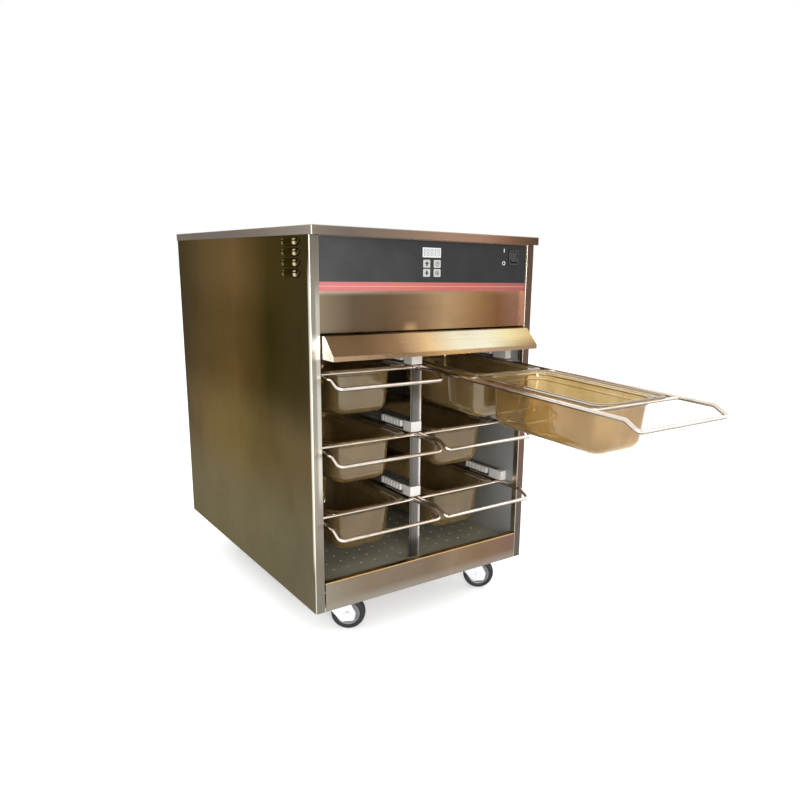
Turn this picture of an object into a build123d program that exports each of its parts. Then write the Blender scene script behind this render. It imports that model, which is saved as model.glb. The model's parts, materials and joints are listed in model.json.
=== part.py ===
"""Food holding cabinet on casters: two bays of wire pan carriers under a heated-air head.

Frame: +X to the cabinet's right, -Y out of its open front, +Z up.
Origin: on the floor, at the middle of the cabinet's footprint.
"""
from build123d import *
import math
import os

# ---------------------------------------------------------------- driving dimensions, mm
body_w = 552.0            # outside width over the two side panels
body_d = 772.0            # outside depth
body_h = 741.0            # underside of the body to the underside of the top cover
caster_h = 97.0           # floor to the underside of the body
sheet = 1.5               # stainless sheet thickness

cover_h = 17.0            # top cover skirt
cover_front = 13.5        # top cover overhang at the front
cover_side = 1.5
cover_back = 2.0

stile_w = 20.0            # front face of each side panel
stile_return = 16.0       # how far the stile turns back into the opening
back_flange = 20.0

rail_h = 62.0             # bottom front rail
floor_h = 42.0            # chamber floor above the underside of the body
ceiling_h = 545.0         # chamber ceiling above the underside of the body
fascia_low = 562.0        # lower and upper edge of the plain fascia
fascia_high = 641.0
fascia_set = 12.0         # how far the fascia stands behind the stiles
panel_set = 3.5           # how far the control panel stands behind the stiles
baffle_y = 704.0          # rear baffle, from the front of the body

rod_r = 4.0               # carrier side rod and handle radius
cross_r = 3.5             # carrier cross rod radius
row_h = (478.5, 330.0, 181.5)   # rod centre heights above the underside of the body
row_names = ("top", "middle", "bottom")
guide_y = 57.0            # front face of the centre post, from the front of the body
rod_x = 8.0               # inner rod of each bay, from the middle of the cabinet
carrier_w = 238.0         # between the two side rods of a carrier
handle_out = 103.0        # handle bar in front of the front cross rod
handle_drop = 14.0        # handle bar below the side rods
pan_w = 196.0             # food pan over its rim
pan_ledge = 25.0          # broad ledge of the rim along each long side
pan_l = 325.0
pan_deep = 100.0
pan_wall = 2.5
pan_taper = 3.0           # lean of the walls, degrees

pulled = 483.0            # how far the open carrier stands out of its bay
droop = 1.45              # degrees that the open carrier tips in the play of its rails

wheel_r = 38.0
wheel_w = 24.0
trail = 33.0              # wheel axle behind the swivel axis
trail_turn = -37.0        # direction in which the wheels trail, degrees from +X
caster_in_x = 90.5        # swivel axis in from the side of the body
caster_in_y = 100.0       # swivel axis in from the front or back of the body

# ---------------------------------------------------------------- reference planes and edges
half_w = body_w / 2
front = -body_d / 2
back = body_d / 2
base = caster_h
roof = caster_h + body_h
cover_under = roof + cover_h - sheet      # underside of the top cover's flat sheet
inner_x = half_w - stile_w                # chamber wall faces

os.makedirs("parts", exist_ok=True)


def finish(piece, label):
    """Label a finished piece and write its STEP file."""
    piece.part.label = label
    export_step(piece.part, f"parts/{label}.step")


def near(shapes, axis, value):
    """The faces or edges whose centres stand at a value along an axis."""
    return shapes.filter_by_position(axis, value - 0.01, value + 0.01)


def span_box(x0, x1, y0, y1, z0, z1, mode=Mode.ADD):
    """A block between two corners, joined to or cut from the open part."""
    with Locations(((x0 + x1) / 2, (y0 + y1) / 2, (z0 + z1) / 2)):
        Box(abs(x1 - x0), abs(y1 - y0), abs(z1 - z0), mode=mode)


# ---------------------------------------------------------------- casing
back_screw_x = half_w - back_flange / 2
back_screw_z = [base + 40 + step * 165 for step in range(5)]
screw_hole_r = 2.2

louver_y = front + 78.0
louver_len = 69.0
louver_top = base + 730.0
louver_pitch = 19.3
louver_r = 5.0
louver_skin = 1.2
louver_count = 4
skin_fold = 2.2           # outside radius of the side skin's folds
edge_fold = 1.3           # outside radius of the small folds


def side_panel(side):
    """Side skin with the front stile, its return and the rear flange folded from one sheet."""
    height = cover_under - base
    with BuildPart() as panel:
        with BuildSketch(Plane.XY.offset(base)):
            with Locations((side * (half_w - sheet / 2), 0)):
                Rectangle(sheet, body_d)
            with Locations((side * (half_w - stile_w / 2), front + sheet / 2)):
                Rectangle(stile_w, sheet)
            with Locations((side * (inner_x + sheet / 2), front + stile_return / 2)):
                Rectangle(sheet, stile_return)
            with Locations((side * (half_w - back_flange / 2), back - sheet / 2)):
                Rectangle(back_flange, sheet)
        extrude(amount=height)
        upright = panel.edges().filter_by(Axis.Z)
        folds = ((half_w, front, skin_fold), (half_w, back, skin_fold), (inner_x, front, edge_fold))
        for x, y, radius in folds:
            fold = near(near(upright, Axis.X, side * x), Axis.Y, y)
            fillet(fold, radius=radius)
        # notch that ends the stile and its return below the cover's front lip
        lip = (roof - 0.5, cover_under + 1)
        span_box(side * (inner_x - 1), side * (half_w - 4), front - 1, front + stile_return + 1,
                 *lip, mode=Mode.SUBTRACT)
        span_box(side * (half_w - 5), side * (half_w + 1), front - 1, front + 4, *lip, mode=Mode.SUBTRACT)
        for z in back_screw_z:
            with Locations(Plane((side * back_screw_x, back, z), z_dir=(0, 1, 0))):
                Cylinder(screw_hole_r, 4 * sheet, mode=Mode.SUBTRACT)
        for row in range(louver_count):
            z = louver_top - row * louver_pitch
            x = side * half_w
            span_box(x - side * 2 * sheet, x + side * sheet, louver_y - louver_len / 2 + sheet,
                     louver_y + louver_len / 2 - sheet, z, z + louver_r - sheet, mode=Mode.SUBTRACT)
            # the pressed hood of a louver, then the two quarter discs that close its ends
            end_shift = (louver_len - louver_skin) / 2
            for shift, length, hollow in ((0, louver_len, True), (-end_shift, louver_skin, False),
                                          (end_shift, louver_skin, False)):
                with BuildSketch(Plane.XZ.offset(-louver_y - shift)):
                    with Locations((x, z)):
                        Circle(louver_r)
                        if hollow:
                            Circle(louver_r - louver_skin, mode=Mode.SUBTRACT)
                    with Locations((x + side * louver_r / 2, z + louver_r / 2)):
                        Rectangle(louver_r, louver_r, mode=Mode.INTERSECT)
                extrude(amount=length / 2, both=True)
    return panel


for side, side_name in ((-1, "left"), (1, "right")):
    finish(side_panel(side), f"{side_name}_side_panel")

gland_x = half_w - 80.0
gland_z = base + 60.0
gland_bore = 5.5

with BuildPart() as back_panel:
    panel_y = back - 1.5 * sheet
    span_box(-half_w + sheet + 0.5, half_w - sheet - 0.5, panel_y - sheet / 2, panel_y + sheet / 2,
             base + 3, cover_under)
    with BuildSketch(Plane((0, panel_y, base + 655), x_dir=(1, 0, 0), z_dir=(0, -1, 0))):
        with GridLocations(52, 16, 8, 5):
            SlotOverall(40, 6)
    extrude(amount=2 * sheet, both=True, mode=Mode.SUBTRACT)
    for side in (-1, 1):
        for z in back_screw_z:
            with Locations(Plane((side * back_screw_x, panel_y, z), z_dir=(0, 1, 0))):
                Cylinder(screw_hole_r, 4 * sheet, mode=Mode.SUBTRACT)
    with Locations(Plane((gland_x, panel_y, gland_z), z_dir=(0, 1, 0))):
        Cylinder(10, 4 * sheet, mode=Mode.SUBTRACT)
finish(back_panel, "back_panel")

with BuildPart() as top_cover:
    x1 = half_w + cover_side
    y0 = front - cover_front
    y1 = back + cover_back
    span_box(-x1, x1, y0, y1, roof, roof + cover_h)
    fillet(top_cover.edges().filter_by(Axis.Z), radius=2.5)
    fillet(top_cover.faces().sort_by(Axis.Z)[-1].edges(), radius=2.0)
    span_box(-half_w, half_w, y0 + sheet, y1 - sheet, roof - 1, cover_under, mode=Mode.SUBTRACT)
    span_box(-half_w, half_w, y0 + sheet, front - 0.5, roof, roof + sheet)
finish(top_cover, "top_cover")

with BuildPart() as base_pan:
    edge_x = half_w - sheet - 0.3
    edge_y0 = front + stile_return + 0.5
    edge_y1 = back - 2.5 * sheet
    span_box(-edge_x, edge_x, edge_y0, edge_y1, base, base + 20)
    fillet(base_pan.edges().filter_by(Axis.Z), radius=3)
    span_box(-edge_x + sheet, edge_x - sheet, edge_y0 + sheet, edge_y1 - sheet,
             base + 2, base + 21, mode=Mode.SUBTRACT)
finish(base_pan, "base_pan")

rail_x = inner_x - 2.0
with BuildPart() as front_bottom_rail:
    with BuildSketch(Plane.YZ.offset(-rail_x)):
        with BuildLine():
            Polyline(
                (front, base), (front, base + rail_h), (front + 14, base + rail_h),
                (front + 14, base + floor_h), (front + 14 - sheet, base + floor_h),
                (front + 14 - sheet, base + rail_h - sheet), (front + sheet, base + rail_h - sheet),
                (front + sheet, base), close=True,
            )
        make_face()
    extrude(amount=2 * rail_x)
    folds = front_bottom_rail.edges().filter_by(Axis.X).group_by(Axis.Z)[-1]
    fillet(folds, radius=edge_fold)
finish(front_bottom_rail, "front_bottom_rail")

with BuildPart() as fascia_panel:
    y0 = front + fascia_set
    span_box(-inner_x, inner_x, y0, y0 + sheet, base + fascia_low, base + fascia_high + 10)
    span_box(-inner_x, inner_x, y0, y0 + 14, base + fascia_low, base + fascia_low + sheet)
    low_fold = near(near(fascia_panel.edges().filter_by(Axis.X), Axis.Y, y0), Axis.Z, base + fascia_low)
    fillet(low_fold, radius=edge_fold)
finish(fascia_panel, "fascia_panel")

# ---------------------------------------------------------------- controls
display_x = -3.5
display_z = base + 717.0
display_w = 45.0
display_h = 19.0
key_w = 17.0
key_h = 15.5
key_gap = 0.3
key_proud = 1.0
key_flange = 1.0
key_x = (-15.5, 10.5)
key_z = (base + 695.0, base + 677.0)
key_names = (("up", "down"), ("time", "set"))
switch_x = 218.0
switch_z = base + 713.0
switch_w = 27.0
switch_h = 32.0
switch_open_w = 20.6
switch_open_h = 25.0
panel_face = front + panel_set
film = 0.8

with BuildPart() as control_panel:
    span_box(-inner_x, inner_x, panel_face, panel_face + sheet, base + fascia_high, cover_under)
    ledge = base + fascia_high
    span_box(-inner_x, inner_x, panel_face, front + fascia_set, ledge, ledge + sheet)
    deep = (panel_face - 1, panel_face + 3)
    span_box(display_x - display_w / 2 + 3, display_x + display_w / 2 - 3, *deep,
             display_z - display_h / 2 + 3, display_z + display_h / 2 - 3, mode=Mode.SUBTRACT)
    for x in key_x:
        for z in key_z:
            span_box(x - key_w / 2 - key_gap, x + key_w / 2 + key_gap, *deep,
                     z - key_h / 2 - key_gap, z + key_h / 2 + key_gap, mode=Mode.SUBTRACT)
    span_box(switch_x - switch_w / 2 + 2, switch_x + switch_w / 2 - 2, *deep,
             switch_z - switch_h / 2 + 2, switch_z + switch_h / 2 - 2, mode=Mode.SUBTRACT)
finish(control_panel, "control_panel")

with BuildPart() as control_overlay:
    x1 = inner_x - 1
    span_box(-x1, x1, panel_face - film, panel_face, base + fascia_high + 0.5, roof - 1)
    deep = (panel_face - 2, panel_face + 1)
    span_box(display_x - display_w / 2, display_x + display_w / 2, *deep,
             display_z - display_h / 2, display_z + display_h / 2, mode=Mode.SUBTRACT)
    for x in key_x:
        for z in key_z:
            span_box(x - key_w / 2 - key_gap, x + key_w / 2 + key_gap, *deep,
                     z - key_h / 2 - key_gap, z + key_h / 2 + key_gap, mode=Mode.SUBTRACT)
    span_box(switch_x - switch_w / 2 + 2, switch_x + switch_w / 2 - 2, *deep,
             switch_z - switch_h / 2 + 2, switch_z + switch_h / 2 - 2, mode=Mode.SUBTRACT)
finish(control_overlay, "control_overlay")

with BuildPart() as display_window:
    span_box(display_x - display_w / 2, display_x + display_w / 2, panel_face - film - 0.6, panel_face,
             display_z - display_h / 2, display_z + display_h / 2)
    fillet(display_window.edges().filter_by(Axis.Y), radius=1.5)
finish(display_window, "display_window")


def control_key(x, z):
    """A square key cap that stands through the panel, with a retaining flange behind it."""
    with BuildPart() as key:
        span_box(x - key_w / 2, x + key_w / 2, panel_face - film - key_proud, panel_face + 2.5,
                 z - key_h / 2, z + key_h / 2)
        fillet(key.edges().filter_by(Axis.Y), radius=1.5)
        fillet(key.faces().sort_by(Axis.Y)[0].edges(), radius=0.5)
        span_box(x - key_w / 2 - key_flange, x + key_w / 2 + key_flange, panel_face + 1.8, panel_face + 2.6,
                 z - key_h / 2 - key_flange, z + key_h / 2 + key_flange)
    return key


for column, x in enumerate(key_x):
    for line, z in enumerate(key_z):
        finish(control_key(x, z), f"key_{key_names[column][line]}")

switch_face = panel_face - film - 2.0
pivot_y = panel_face + 3.0
pivot_r = 1.5
pivot_gap = 0.05
rocker_tilt = -9.0        # the upper half is pressed in

with BuildPart() as switch_bezel:
    span_box(switch_x - switch_w / 2, switch_x + switch_w / 2, switch_face, panel_face - film,
             switch_z - switch_h / 2, switch_z + switch_h / 2)
    fillet(switch_bezel.edges().filter_by(Axis.Y), radius=2.0)
    fillet(switch_bezel.faces().sort_by(Axis.Y)[0].edges(), radius=0.8)
    span_box(switch_x - switch_w / 2 + 2, switch_x + switch_w / 2 - 2,
             panel_face - film - 0.2, panel_face + 22,
             switch_z - switch_h / 2 + 2, switch_z + switch_h / 2 - 2)
    span_box(switch_x - switch_open_w / 2, switch_x + switch_open_w / 2, switch_face - 1, panel_face + 12,
             switch_z - switch_open_h / 2, switch_z + switch_open_h / 2, mode=Mode.SUBTRACT)
    with Locations((switch_x, pivot_y, switch_z)):
        Cylinder(pivot_r + pivot_gap, switch_open_w + 2.6, rotation=(0, 90, 0), mode=Mode.SUBTRACT)
    for z in (-6, 6):
        span_box(switch_x - 3, switch_x + 3, panel_face + 21, panel_face + 28,
                 switch_z + z - 0.4, switch_z + z + 0.4)
finish(switch_bezel, "switch_bezel")

with BuildPart() as power_rocker:
    tilt = math.radians(rocker_tilt)
    tilted = Plane((switch_x, pivot_y, switch_z), x_dir=(0, math.cos(tilt), math.sin(tilt)), z_dir=(1, 0, 0))
    with BuildSketch(tilted) as side_view:
        with BuildLine():
            Polyline((-7.2, -11.0), (-4.4, 0), (-7.2, 11.0), (2.5, 9.0), (4.0, 0), (2.5, -9.0), close=True)
        make_face()
        fillet(side_view.vertices().filter_by(lambda v: abs(v.Y) > 6), radius=0.8)
    extrude(amount=switch_open_w / 2 - 0.4, both=True)
    with Locations((switch_x, pivot_y, switch_z)):
        Cylinder(pivot_r, switch_open_w + 2.0, rotation=(0, 90, 0))
finish(power_rocker, "power_rocker")

with BuildPart() as control_board:
    board_y = panel_face + sheet + 8
    span_box(-70, 130, board_y, board_y + 1.6, base + 658, base + 728)
    # relay, microcontroller module, transformer and terminal block
    for x, z, w, h, deep in (
        (-45, 695, 26, 34, 22), (-10, 693, 30, 24, 14),
        (45, 700, 40, 44, 30), (98, 690, 28, 50, 16),
    ):
        span_box(x - w / 2, x + w / 2, board_y + 1.5, board_y + 1.6 + deep,
                 base + z - h / 2, base + z + h / 2)
    for x in (-64, 124):
        for z in (base + 664, base + 722):
            with Locations(Plane((x, (panel_face + sheet + board_y) / 2, z), z_dir=(0, 1, 0))):
                Cylinder(3, board_y - panel_face - sheet)
finish(control_board, "control_board")

# ---------------------------------------------------------------- air hood over the opening
hood_x = inner_x - 2.0
hood_top = base + 559.0
hood_out_top = 13.0
hood_out = 47.0
hood_lip = 9.0
hood_low = base + 516.0

with BuildPart() as air_hood:
    with BuildSketch(Plane.YZ.offset(-hood_x)):
        with BuildLine():
            Polyline(
                (front + 12, hood_top), (front - hood_out_top, hood_top),
                (front - hood_out, hood_low + hood_lip), (front - hood_out, hood_low),
                (front - hood_out + sheet, hood_low), (front - hood_out + sheet, hood_low + hood_lip - 0.6),
                (front - hood_out_top + 0.6, hood_top - sheet), (front + 12, hood_top - sheet), close=True,
            )
        make_face()
    extrude(amount=2 * hood_x)
    for side in (-1, 1):
        end_plane = Plane.YZ.offset(side * (hood_x - sheet / 2))
        with BuildSketch(end_plane):
            with BuildLine():
                Polyline(
                    (front - 0.2, hood_top - 0.5), (front - hood_out_top, hood_top - 0.5),
                    (front - hood_out + 0.5, hood_low + hood_lip), (front - hood_out + 0.5, hood_low),
                    (front - 0.2, hood_low), close=True,
                )
            make_face()
        extrude(amount=sheet / 2, both=True)
finish(air_hood, "air_hood")

# ---------------------------------------------------------------- chamber
def at_y(distance):
    """Y of a point given by its distance behind the front of the body."""
    return front + distance


liner_y0 = at_y(stile_return)
liner_y1 = at_y(baffle_y)


def chamber_liner(side):
    """Inner side wall of the chamber with its top and bottom flanges."""
    with BuildPart() as liner:
        x = side * inner_x
        span_box(x, x + side * sheet, liner_y0, liner_y1, base + floor_h, base + ceiling_h)
        for z in (base + floor_h, base + ceiling_h - sheet):
            span_box(x, x + side * 10, liner_y0, liner_y1, z, z + sheet)
    return liner


for side, side_name in ((-1, "left"), (1, "right")):
    finish(chamber_liner(side), f"{side_name}_liner")

with BuildPart() as insulation_panels:
    for side in (-1, 1):
        span_box(side * (half_w - sheet - 0.5), side * (inner_x + sheet + 0.5), at_y(20), at_y(760),
                 base + 46, base + ceiling_h - 4)
finish(insulation_panels, "insulation_panels")

with BuildPart() as interior_floor:
    span_box(-inner_x, inner_x, at_y(sheet + 0.3), liner_y1 - 0.3, base + floor_h - 2, base + floor_h)
    with BuildSketch(Plane.XY.offset(base + floor_h)):
        with Locations((0, at_y(380))):
            with GridLocations(34, 34, 14, 18):
                Circle(2.5)
    extrude(amount=-3, mode=Mode.SUBTRACT)
finish(interior_floor, "interior_floor")

fan_y = at_y(585)
fan_r = 78.0
probe_x = 120.0
probe_y = at_y(655)
probe_r = 2.5

with BuildPart() as interior_ceiling:
    span_box(-inner_x, inner_x, at_y(fascia_set + 14.3), at_y(baffle_y + 60),
             base + ceiling_h, base + ceiling_h + sheet)
    with BuildSketch(Plane.XY.offset(base + ceiling_h)):
        with Locations((0, fan_y)):
            Circle(52)
        with Locations((probe_x, probe_y)):
            Circle(probe_r + 0.1)
        with Locations((0, at_y(250))):
            with GridLocations(60, 40, 7, 8):
                SlotOverall(36, 6)
        with Locations((0, at_y(baffle_y + 32))):
            Rectangle(380, 30)
    extrude(amount=3, mode=Mode.SUBTRACT)
finish(interior_ceiling, "interior_ceiling")

with BuildPart() as rear_baffle:
    span_box(-inner_x, inner_x, at_y(baffle_y), at_y(baffle_y) + sheet, base + floor_h, base + ceiling_h)
    with BuildSketch(Plane((0, at_y(baffle_y), base + 290), x_dir=(1, 0, 0), z_dir=(0, -1, 0))):
        for column in (-1, 1):
            with Locations((column * 128, 0)):
                with GridLocations(46, 24, 4, 18):
                    SlotOverall(32, 6)
    extrude(amount=-2 * sheet, mode=Mode.SUBTRACT)
    for z in (base + floor_h + 0.7, base + ceiling_h - 0.7):
        span_box(-inner_x + 4, inner_x - 4, at_y(baffle_y) + sheet, at_y(baffle_y) + 12, z - 0.7, z + 0.7)
finish(rear_baffle, "rear_baffle")

# ---------------------------------------------------------------- posts, rails and guides
post_w = 28.0
post_deep = 16.0
web = 4.0                 # middle web of a post
rail_under = rod_r + 0.3  # rail ledge below the rod's centre
rail_over = 27.8          # underside of the rail's upper flange above the rod's centre
guide_gap = 5.5           # underside of a guide block above the rod's centre
guide_high = 22.0
guide_len = 29.0
rail_web_gap = 0.5        # rod to rail web
wall_cap_out = 14.0       # how far the wall guides' noses stand in front of the centre ones
row_z = [base + height for height in row_h]
rail_y0 = at_y(guide_y + sheet)
rail_y1 = at_y(baffle_y - 0.5)

with BuildPart() as divider_posts:
    y0 = at_y(guide_y)
    span_box(-post_w / 2, post_w / 2, y0, y0 + sheet, base + floor_h, base + ceiling_h)
    fillet(divider_posts.edges().filter_by(Axis.Z).group_by(Axis.Y)[0], radius=1.2)
    span_box(-web / 2, web / 2, y0 + sheet / 2, y0 + post_deep, base + floor_h, base + ceiling_h)
    for z in row_z:
        for side in (-1, 1):
            span_box(side * web / 2, side * (post_w / 2 + 1), y0 - 1, y0 + sheet,
                     z - rail_under - sheet, z + rail_over + sheet, mode=Mode.SUBTRACT)
    y1 = at_y(baffle_y)
    span_box(-web / 2, web / 2, y1 - post_deep, y1, base + floor_h, base + ceiling_h)
finish(divider_posts, "divider_posts")


def rail_channel(web_x, open_side, tip_x, z):
    """One C-shaped rail that faces its bay, with the rod running on its lower flange."""
    back_x = web_x - open_side * sheet
    span_box(back_x, web_x, rail_y0, rail_y1, z - rail_under - sheet, z + rail_over + sheet)
    span_box(web_x, tip_x, rail_y0, rail_y1, z - rail_under - sheet, z - rail_under)
    span_box(web_x, tip_x, rail_y0, rail_y1, z + rail_over, z + rail_over + sheet)
    return back_x


with BuildPart() as centre_rails:
    for z in row_z:
        for side in (-1, 1):
            web_face = side * (rod_x - rod_r - rail_web_gap)
            rail_channel(web_face, side, side * post_w / 2, z)
finish(centre_rails, "centre_rails")

wall_tip = inner_x - 16.0
with BuildPart() as wall_rails:
    for z in row_z:
        for side in (-1, 1):
            web_face = side * (rod_x + carrier_w + rod_r + rail_web_gap)
            back_x = rail_channel(web_face, -side, side * wall_tip, z)
            for y in (at_y(110), at_y(380), at_y(650)):
                span_box(back_x, side * inner_x, y - 9, y + 9, z + 4, z + 20)
finish(wall_rails, "wall_rails")

with BuildPart() as guide_blocks:
    face_y = at_y(guide_y)
    cap_y = face_y - sheet
    tongue = (face_y - 0.2, face_y + guide_len)
    for z in row_z:
        level = (z + guide_gap, z + guide_gap + guide_high)
        span_box(-post_w / 2 + 0.5, post_w / 2 - 0.5, cap_y, face_y, *level)
        for side in (-1, 1):
            rail_face = side * (rod_x - rod_r - rail_web_gap + 0.1)
            span_box(rail_face, side * (post_w / 2 - 0.5), *tongue, *level)
            wall_face = side * (rod_x + carrier_w + rod_r + rail_web_gap - 0.1)
            span_box(side * inner_x, side * (wall_tip + 0.5), cap_y - wall_cap_out, face_y, *level)
            span_box(wall_face, side * (wall_tip + 0.5), *tongue, *level)
finish(guide_blocks, "guide_blocks")

# ---------------------------------------------------------------- heating and air
with BuildPart() as heating_element:
    leg_pitch = 62.0
    legs = 6
    y = at_y(baffle_y + 33)
    top = base + ceiling_h + 20
    points = []
    for leg in range(legs):
        x = (leg - (legs - 1) / 2) * leg_pitch
        high = top if leg in (0, legs - 1) else base + 470
        ends = [(x, y, high), (x, y, base + 130)]
        points += ends if leg % 2 == 0 else ends[::-1]
    with BuildLine() as run:
        FilletPolyline(*points, radius=24)
    with BuildSketch(Plane(points[0], z_dir=(0, 0, -1))):
        Circle(4)
    sweep(path=run.line)
finish(heating_element, "heating_element")

shaft_r = 4.0
shaft_gap = 0.05
fan_low = base + ceiling_h + 14
fan_high = fan_low + 46
motor_low = fan_high + 12
motor_plate_r = 100.0
motor_leg_r = 92.0

with BuildPart() as blower_motor:
    with Locations((0, fan_y, motor_low + 2)):
        Cylinder(motor_plate_r, 4)
    leg_low = base + ceiling_h + sheet
    with Locations((0, fan_y, (leg_low + motor_low) / 2)):
        with PolarLocations(motor_leg_r, 3, start_angle=90):
            Cylinder(5, motor_low - leg_low)
    with Locations((0, fan_y, motor_low + 44)):
        Cylinder(52, 80)
    fillet(blower_motor.faces().sort_by(Axis.Z)[-1].edges(), radius=8)
    with Locations((0, fan_y, (fan_low + 6 + motor_low) / 2)):
        Cylinder(shaft_r, motor_low - fan_low - 6)
finish(blower_motor, "blower_motor")

with BuildPart() as fan_wheel:
    blades = 24
    with Locations((0, fan_y, fan_high - 1)):
        Cylinder(fan_r, 2)
    with Locations((0, fan_y, fan_high - 14)):
        Cylinder(13, 28)
    with BuildSketch(Plane.XY.offset(fan_low)):
        with Locations((0, fan_y)):
            Circle(fan_r)
            Circle(fan_r - 15, mode=Mode.SUBTRACT)
    extrude(amount=2)
    with BuildSketch(Plane.XY.offset(fan_low + 1)):
        with Locations((0, fan_y)):
            with PolarLocations(fan_r - 8, blades):
                Rectangle(13, 1.4, rotation=35)
    extrude(amount=fan_high - fan_low - 2)
    with Locations((0, fan_y, fan_high - 14)):
        Cylinder(shaft_r + shaft_gap, 60, mode=Mode.SUBTRACT)
finish(fan_wheel, "fan_wheel")

with BuildPart() as temperature_probe:
    with Locations((probe_x, probe_y, base + ceiling_h - 15)):
        Cylinder(probe_r, 70)
    with BuildSketch(Plane.XY.offset(base + ceiling_h + sheet)):
        with Locations((probe_x, probe_y)):
            RegularPolygon(radius=7, side_count=6)
    extrude(amount=6)
finish(temperature_probe, "temperature_probe")

with BuildPart() as cord_gland:
    outer = back - sheet
    with BuildSketch(Plane((gland_x, outer, gland_z), z_dir=(0, 1, 0))):
        RegularPolygon(radius=16, side_count=6)
    extrude(amount=7)
    with Locations(Plane((gland_x, outer + 13, gland_z), z_dir=(0, 1, 0))):
        Cylinder(11, 14)
    fillet(cord_gland.faces().sort_by(Axis.Y)[-1].edges(), radius=4)
    with Locations(Plane((gland_x, outer - 7, gland_z), z_dir=(0, 1, 0))):
        Cylinder(10, 15)
    with BuildSketch(Plane((gland_x, outer - sheet, gland_z), z_dir=(0, -1, 0))):
        RegularPolygon(radius=15, side_count=6)
    extrude(amount=5)
    with Locations(Plane((gland_x, outer + 3, gland_z), z_dir=(0, 1, 0))):
        Cylinder(gland_bore, 60, mode=Mode.SUBTRACT)
finish(cord_gland, "cord_gland")

with BuildPart() as panel_screws:
    for side in (-1, 1):
        for z in back_screw_z:
            with Locations(Plane((side * back_screw_x, back - 2.5, z), z_dir=(0, 1, 0))):
                Cylinder(2.0, 5)
            with BuildSketch(Plane((side * back_screw_x, back, z), z_dir=(0, 1, 0))):
                Circle(4.2)
            extrude(amount=2.2, taper=20)
finish(panel_screws, "panel_screws")

# ---------------------------------------------------------------- wire carriers and pans
front_cross = -5.0                      # front cross rod from the guide plane, towards the back
middle_cross = front_cross + 317.0
rear_cross = front_cross + 637.5
rod_end = rear_cross + 5.0
bar_at = front_cross - handle_out
bend_at = bar_at + 28.0
rim_over = rod_r + 0.3                  # underside of a pan's rim above the rods' centres
rim_thick = 2.5
pan_mouth_w = pan_w - 2 * pan_ledge
pan_mouth_l = pan_l - 26.0


def bay_plane(column, row):
    """Plane at a carrier's rods: X across, Y into the bay, origin at the guides."""
    side = -1 if column == "left" else 1
    middle = side * (rod_x + carrier_w / 2)
    origin = Vector(middle, at_y(guide_y), row_z[row])
    if (column, row) != ("right", 0):
        return Plane(origin=origin, x_dir=(1, 0, 0), z_dir=(0, 0, 1))
    tip = math.radians(droop)
    inward = Vector(0, math.cos(tip), math.sin(tip))
    return Plane(origin=origin - inward * pulled, x_dir=(1, 0, 0), z_dir=(0, -math.sin(tip), math.cos(tip)))


def carrier(plane):
    """Welded wire carrier: one bent rod makes both sides and the handle, with three cross rods."""
    half = carrier_w / 2
    corners = [
        (-half, rod_end, 0), (-half, bend_at, 0), (-half, bar_at, -handle_drop),
        (half, bar_at, -handle_drop), (half, bend_at, 0), (half, rod_end, 0),
    ]
    start = plane.from_local_coords(Vector(*corners[0]))
    with BuildPart(plane) as frame:
        with BuildLine(plane) as run:
            FilletPolyline(*corners, radius=(12, 9, 9, 12))
        with BuildSketch(Plane(origin=start, z_dir=run.line % 0)):
            Circle(rod_r)
        sweep(path=run.line)
        for y in (front_cross, middle_cross, rear_cross):
            with Locations((0, y, 0)):
                Cylinder(cross_r, carrier_w, rotation=(0, 90, 0))
    return frame


def pan_block(rim_plane, middle, inset, depth):
    """Solid tapered block with a rounded bottom: the outside of a pan, or its hollow."""
    with BuildPart() as block:
        with BuildSketch(rim_plane):
            with Locations(middle):
                RectangleRounded(pan_mouth_w - 2 * inset, pan_mouth_l - 2 * inset, 30 - inset)
        extrude(amount=-depth, taper=pan_taper)
        upward = Axis(rim_plane.origin, rim_plane.z_dir)
        fillet(block.faces().sort_by(upward)[0].edges(), radius=20 - inset)
    return block.part


def food_pan(plane, shift, start):
    """Deep pan with a flat rim, drawn at its place in a carrier."""
    rim_plane = plane.offset(rim_over)
    middle = (shift, start + pan_l / 2)
    with BuildPart() as pan:
        add(pan_block(rim_plane, middle, 0, pan_deep - rim_thick))
        with BuildSketch(rim_plane):
            with Locations(middle):
                RectangleRounded(pan_w, pan_l, 22)
        extrude(amount=rim_thick)
        add(pan_block(rim_plane, middle, pan_wall, pan_deep - rim_thick - pan_wall), mode=Mode.SUBTRACT)
        with BuildSketch(rim_plane):
            with Locations(middle):
                RectangleRounded(pan_mouth_w - 2 * pan_wall, pan_mouth_l - 2 * pan_wall, 30 - pan_wall)
        extrude(amount=rim_thick + 1, mode=Mode.SUBTRACT)
    return pan


pan_starts = (front_cross - 8.5, front_cross - 8.5 + pan_l + 1.0)
open_pan_shift = (-11.0, -8.0)

for column in ("left", "right"):
    for row, row_name in enumerate(row_names):
        plane = bay_plane(column, row)
        label = f"{column}_{row_name}"
        finish(carrier(plane), f"carrier_{label}")
        if (column, row) == ("right", 0):
            for place, start, shift in zip(("front", "rear"), pan_starts, open_pan_shift):
                finish(food_pan(plane, shift, start), f"pan_{label}_{place}")
        else:
            with BuildPart() as pans:
                for start in pan_starts:
                    add(food_pan(plane, 0, start).part)
            finish(pans, f"pans_{label}")

# ---------------------------------------------------------------- casters
plate_w = 64.0
plate_t = 3.0
race_low = base - 10.0
kingpin_r = 6.0
king_gap = 0.06
leg_in = wheel_w / 2 + 2.5
leg_t = 2.5
axle_r = 4.0
axle_gap = 0.06

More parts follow.
